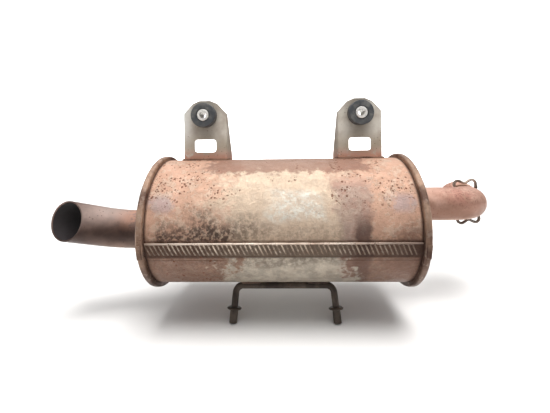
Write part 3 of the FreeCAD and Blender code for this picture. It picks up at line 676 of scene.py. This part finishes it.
def make_welds():
    finish = {"metallic": 0.7, "rough": (0.35, 0.5), "grain": 300.0}
    bead = steel_material("weld_bead", srgb(150, 118, 98), srgb(96, 72, 60), srgb(80, 48, 36),
                          **finish)
    dark = steel_material("dark_weld", srgb(110, 90, 78), srgb(62, 50, 44), srgb(84, 50, 36),
                          **finish)
    weld_brackets(bead)
    weld_pipes(bead, dark)
    weld_hooks(dark)
    weld_rod(dark)


# --- soot and painted shade in the tailpipe ---------------------------------------------------

def make_soot_and_shade():
    """A thin, nearly black skin in the tailpipe, partly soot and partly painted shade in its
    bore: up its straight run, round the bend, and out to just inside the slash cut."""
    bore, skin, bend_r = 0.0221, 0.00025, 0.089
    run_end, run_length = 0.181, 0.030
    roll, turn = math.radians(31.0), math.radians(33.0)
    around, bend_steps, inset = 48, 12, 0.0006
    back, side = Vector((-1, 0, 0)), Vector((0, -math.cos(roll), math.sin(roll)))
    across = back.cross(side)
    start = Vector((AXIS_X, OUTLET_Y, OUTLET_Z)) + back * run_end
    centre = start + side * bend_r
    tail = back * math.cos(turn) + side * math.sin(turn)
    # the slash cut's own faces are the ones that look out along the tail
    cut = [p for p in NODES["outlet_pipe"].data.polygons if p.normal.dot(tail) > 0.7]
    area = sum(p.area for p in cut)
    normal = sum((p.normal * p.area for p in cut), Vector()) / area
    middle = sum((p.center * p.area for p in cut), Vector()) / area

    def ring(at, out, radius):
        turns = [2 * math.pi * k / around for k in range(around)]
        return [at + (out * math.cos(t) + across * math.sin(t)) * radius for t in turns]

    def wall(radius):
        rings = [ring(start - back * run_length, -side, radius)]
        for i in range(bend_steps + 1):
            t = turn * i / bend_steps
            out = -side * math.cos(t) + back * math.sin(t)
            rings.append(ring(centre + out * bend_r, out, radius))
        last = rings[-1]
        reach = [(middle - p).dot(normal) / tail.dot(normal) - inset for p in last]
        for share in (0.35, 0.7, 1.0):
            rings.append([p + tail * d * share for p, d in zip(last, reach)])
        return rings

    rings = wall(bore) + wall(bore - skin)[::-1]
    verts = [p for one in rings for p in one]
    add_piece("tailpipe_soot_and_shade", verts, ring_faces(len(rings), around, closed=True),
              soot_and_shade_material())


# --- lock seam --------------------------------------------------------------------------------

SEAM_END = RIM_INNER - 0.0015
SEAM_END_TINTS = ((near("x", -0.165, 0.10), srgb(110, 84, 70), 0.75),
                  (near("x", 0.165, 0.16), srgb(84, 58, 50), 0.9))
CRIMP_WEAR_TINTS = ((near("z", -0.1575, 0.0100), srgb(104, 86, 74), 0.8),
                    (specks(170.0, 0.45, 0.56), srgb(98, 78, 66), 0.8))


def make_crimps():
    """Slanting crimp ridges across the lock seam, each a strip of rows by cols points."""
    pitch, lean, half, height, sunk = 0.0048, 0.0052, 0.00085, 0.00055, 0.0001
    top, bottom = SEAM_HIGH - math.radians(1.0), SEAM_LOW + math.radians(1.3)
    rows, cols = 9, 5
    blunt = 0.04, 0.96
    verts, faces = [], []
    for n in range(int((2 * SEAM_END - lean) / pitch)):
        start = AXIS_X - SEAM_END + n * pitch
        base = len(verts)
        # two slow waves along the seam leave some ridges lower than others
        worn = 0.75 + 0.25 * math.sin(n * 0.9) * math.sin(n * 0.23)
        for i in range(rows):
            t = i / (rows - 1)
            angle = top + (bottom - top) * t
            thick = math.sin(math.pi * min(max(t, blunt[0]), blunt[1])) ** 0.5
            for k in range(cols):
                u = k / (cols - 1) * 2 - 1
                lift = height * worn * thick * math.cos(u * math.pi / 2) - sunk
                verts.append(barrel_point(start + lean * t + u * half, angle, SEAM_R + lift))
        for i in range(rows - 1):
            for k in range(cols - 1):
                a = base + i * cols + k
                faces.append((a, a + 1, a + cols + 1, a + cols))
    metal = steel_material("seam_crimp", srgb(240, 222, 202), srgb(180, 158, 138),
                           srgb(80, 54, 42), tints=SEAM_END_TINTS + CRIMP_WEAR_TINTS,
                           metallic=0.45, rough=(0.28, 0.42), grain=300.0)
    add_piece("seam_crimps", verts, faces, metal)


def make_seam_edge(name, angle, thick, material):
    """A thin wavy roll along the barrel."""
    sides, steps = 8, 20
    out = Vector((0, -math.cos(angle), math.sin(angle)))
    up = Vector((0, math.sin(angle), math.cos(angle)))
    points = []
    for i in range(2 * steps + 1):
        p = barrel_point(AXIS_X + SEAM_END * (i - steps) / steps, angle, SEAM_R - 0.0002)
        wave = 1.0 + 0.15 * math.sin(i * 1.7)
        for k in range(sides):
            turn = 2 * math.pi * k / sides
            points.append(p + (out * math.cos(turn) + up * math.sin(turn)) * thick * wave)
    add_piece(name, points, ring_faces(2 * steps + 1, sides), material)


def make_seam(shell_metal):
    """The crimps, the sheet's rolled edge above them, and the fainter one below."""
    make_crimps()
    lip = steel_material("seam_lip", srgb(252, 236, 220), srgb(206, 182, 164), srgb(96, 66, 54),
                         tints=SEAM_END_TINTS, metallic=0.6, rough=(0.22, 0.36), grain=300.0)
    make_seam_edge("seam_edge_upper", SEAM_HIGH - 0.002, 0.0011, lip)
    make_seam_edge("seam_edge_lower", SEAM_LOW - 0.004, 0.0006, shell_metal)


# --- stage, light and camera ------------------------------------------------------------------

FLOOR_Z = -0.2512
STAGE_R = 1.7
FLOOR_RINGS = 8
WALL_BEND_R, WALL_TOP = 1.2, 6.0
# the wall glows from half to full strength over this height above the floor
WALL_GLOW_HEIGHT = 0.4
CARD_R, CARD_LIFT, CARD_Y = 1.2, 0.001, -1.31
# the sky's brightness goes from DIM to BRIGHT as the height of a direction goes over DOME
DOME, DIM, BRIGHT = (0.12, 0.86), 0.10, 1.20
SUN_ENERGY, SUN_ANGLE, SUN_DIRECTION = 4.4, 37, (-0.13, 0.20, -1.0)
SENSOR_MM, LENS_MM, LENS_SHIFT = 36.0, 19.24, -0.1009
CAMERA_YAW, CAMERA_ROLL = math.radians(1.7), math.radians(0.8)
CAMERA_AT = Vector((AXIS_X + 0.0033, AXIS_Y - 0.3816, AXIS_Z + 0.0867))


def turned_sheet(name, profile):
    """A sheet turned about the vertical axis: profile is (radius, height) pairs outwards."""
    steps = 64
    turns = [2 * math.pi * i / steps for i in range(steps)]
    verts = [(radius * math.cos(turn), radius * math.sin(turn), height)
             for radius, height in profile for turn in turns]
    thing = mesh_object(name, verts, ring_faces(len(profile), steps))
    return thing


def matt(g, scale, detail, a, b):
    """A matt surface, between two close tones."""
    return g.done(g.mix(g.noise(scale, detail), a, b), 0.0, 0.9)


def make_floor():
    """A round pale floor, a white wall all round it that only the camera sees, and a dark card
    on the floor in front, a sheet of painted shade that only reflections see."""
    floor = turned_sheet("studio_floor", [(STAGE_R * i / FLOOR_RINGS, FLOOR_Z)
                                          for i in range(FLOOR_RINGS + 1)])
    g = Graph("pale_floor")
    g.bsdf.inputs["Specular IOR Level"].default_value = 0.1
    floor.data.materials.append(matt(g, 3.0, 2.0, (0.63, 0.62, 0.61), (0.66, 0.65, 0.64)))
    bend = []
    for degrees in range(0, 91, 9):
        t = math.radians(degrees)
        bend.append((STAGE_R + WALL_BEND_R * math.sin(t),
                     FLOOR_Z + WALL_BEND_R - WALL_BEND_R * math.cos(t)))
    wall = turned_sheet("studio_wall", bend + [(STAGE_R + WALL_BEND_R, WALL_TOP)])
    g = Graph("white_wall")
    g.put(g.bsdf.inputs["Emission Strength"],
          g.ramp(g.z, FLOOR_Z, FLOOR_Z + WALL_GLOW_HEIGHT, 0.5, 1.0))
    g.bsdf.inputs["Emission Color"].default_value = (1, 1, 1, 1)
    wall.data.materials.append(matt(g, 2.0, 4.0, (0.86, 0.86, 0.86), (0.88, 0.88, 0.88)))
    wall.visible_diffuse = wall.visible_glossy = wall.visible_shadow = False
    # the dark card is painted shade: it darkens what the barrel reflects of the floor in front
    card_z = FLOOR_Z + CARD_LIFT
    card = turned_sheet("dark_card", [(0.0, card_z), (CARD_R, card_z)])
    card.location.y = CARD_Y
    g = Graph("dark_card")
    card.data.materials.append(matt(g, 4.0, 4.0, (0.10, 0.085, 0.075), (0.14, 0.12, 0.11)))
    card.visible_camera = card.visible_shadow = card.visible_diffuse = False


def make_light():
    """A dome that is bright overhead and dim at the horizon, and one broad sun."""
    world = bpy.data.worlds.new("studio")
    world.use_nodes = True
    tree = world.node_tree
    split = tree.nodes.new("ShaderNodeSeparateXYZ")
    tree.links.new(tree.nodes.new("ShaderNodeTexCoord").outputs["Generated"], split.inputs[0])
    background = tree.nodes["Background"]
    background.inputs["Color"].default_value = (1, 1, 1, 1)
    tree.links.new(smooth_range(tree, split.outputs["Z"], *DOME, DIM, BRIGHT),
                   background.inputs["Strength"])
    bpy.context.scene.world = world
    data = bpy.data.lights.new("softbox", "SUN")
    data.energy = SUN_ENERGY
    data.angle = math.radians(SUN_ANGLE)
    thing = bpy.data.objects.new("softbox", data)
    thing.rotation_euler = Vector(SUN_DIRECTION).to_track_quat("-Z", "Y").to_euler()
    thing.visible_glossy = False
    bpy.context.scene.collection.objects.link(thing)


def make_camera():
    data = bpy.data.cameras.new("camera")
    data.sensor_width = SENSOR_MM
    data.lens = LENS_MM
    data.shift_y = LENS_SHIFT
    data.clip_start, data.clip_end = 0.01, 50.0
    thing = bpy.data.objects.new("camera", data)
    bpy.context.scene.collection.objects.link(thing)
    turn = Matrix.Rotation(CAMERA_YAW, 3, "Z") @ Matrix.Rotation(CAMERA_ROLL, 3, "Y")
    right, ahead, up = (turn @ Vector(v) for v in ((1, 0, 0), (0, 1, 0), (0, 0, 1)))
    pose = Matrix((right, up, -ahead)).transposed().to_4x4()
    pose.translation = CAMERA_AT
    thing.matrix_world = pose
    bpy.context.scene.camera = thing


SHELL_METAL = paint_nodes()
make_welds()
make_soot_and_shade()
make_seam(SHELL_METAL)
make_floor()
make_light()
make_camera()
bpy.context.scene.view_settings.view_transform = "Standard"

bpy.context.view_layer.update()
